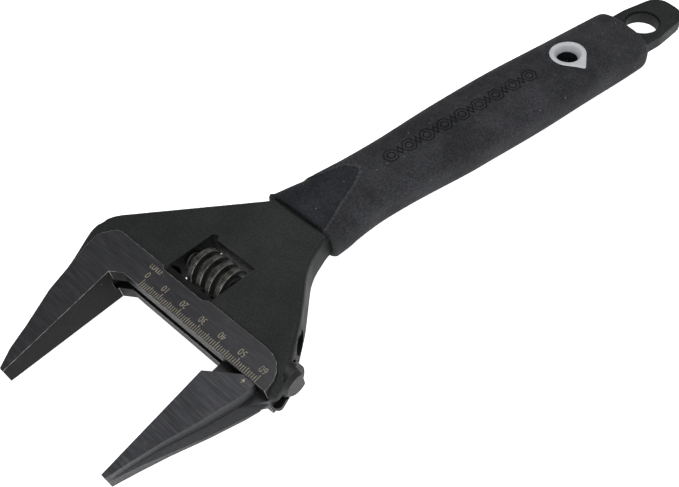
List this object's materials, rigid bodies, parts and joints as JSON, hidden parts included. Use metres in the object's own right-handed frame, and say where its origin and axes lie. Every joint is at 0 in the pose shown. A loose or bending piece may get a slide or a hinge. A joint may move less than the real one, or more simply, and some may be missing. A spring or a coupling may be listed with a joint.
{
  "type": "adjustable wrench",
  "caption": "Wide-opening adjustable wrench with slim tapered jaws, a worm that drives the sliding jaw, a soft grip and a hanging eye.",
  "frame": {"origin": "middle of the fixed jaw's gripping face, at mid thickness, 26 mm from the slide face", "axes": "+X the way the sliding jaw opens, +Y towards the handle, +Z out of the face that carries the scale"},
  "size_m": [0.1145, 0.2976, 0.021],
  "materials": {
    "forged_steel": "black phosphate, satin, lands ground",
    "jaw_steel": "black phosphate over ground steel",
    "worm_steel": "black oxide, bright worn crests",
    "pin_steel": "black oxide",
    "spring_steel": "bright drawn wire",
    "grip_rubber": "fine matt texture",
    "eyelet_plastic": "satin grey"
  },
  "bodies": {
    "wrench_body": {"body": "forged_steel", "worm_pin": "pin_steel", "worm_spring": "spring_steel", "grip": "grip_rubber", "eyelet": "eyelet_plastic"},
    "sliding_jaw": {"moving_jaw": "jaw_steel"},
    "adjusting_worm": {"worm": "worm_steel"}
  },
  "joints": [
    {"name": "jaw_slide", "type": "slide", "parent": "wrench_body", "child": "sliding_jaw", "axis": [1, 0, 0], "range_m": [-0.0564, 0.0034]},
    {"name": "worm_spin", "type": "hinge", "parent": "wrench_body", "child": "adjusting_worm", "pos_m": [0.0274, 0.0484, 0], "axis": [1, 0, 0], "range_deg": [-260, 4240]}
  ],
  "couplings": [
    {"joint": "worm_spin", "follows": "jaw_slide", "rad_per_m": -1309}
  ]
}
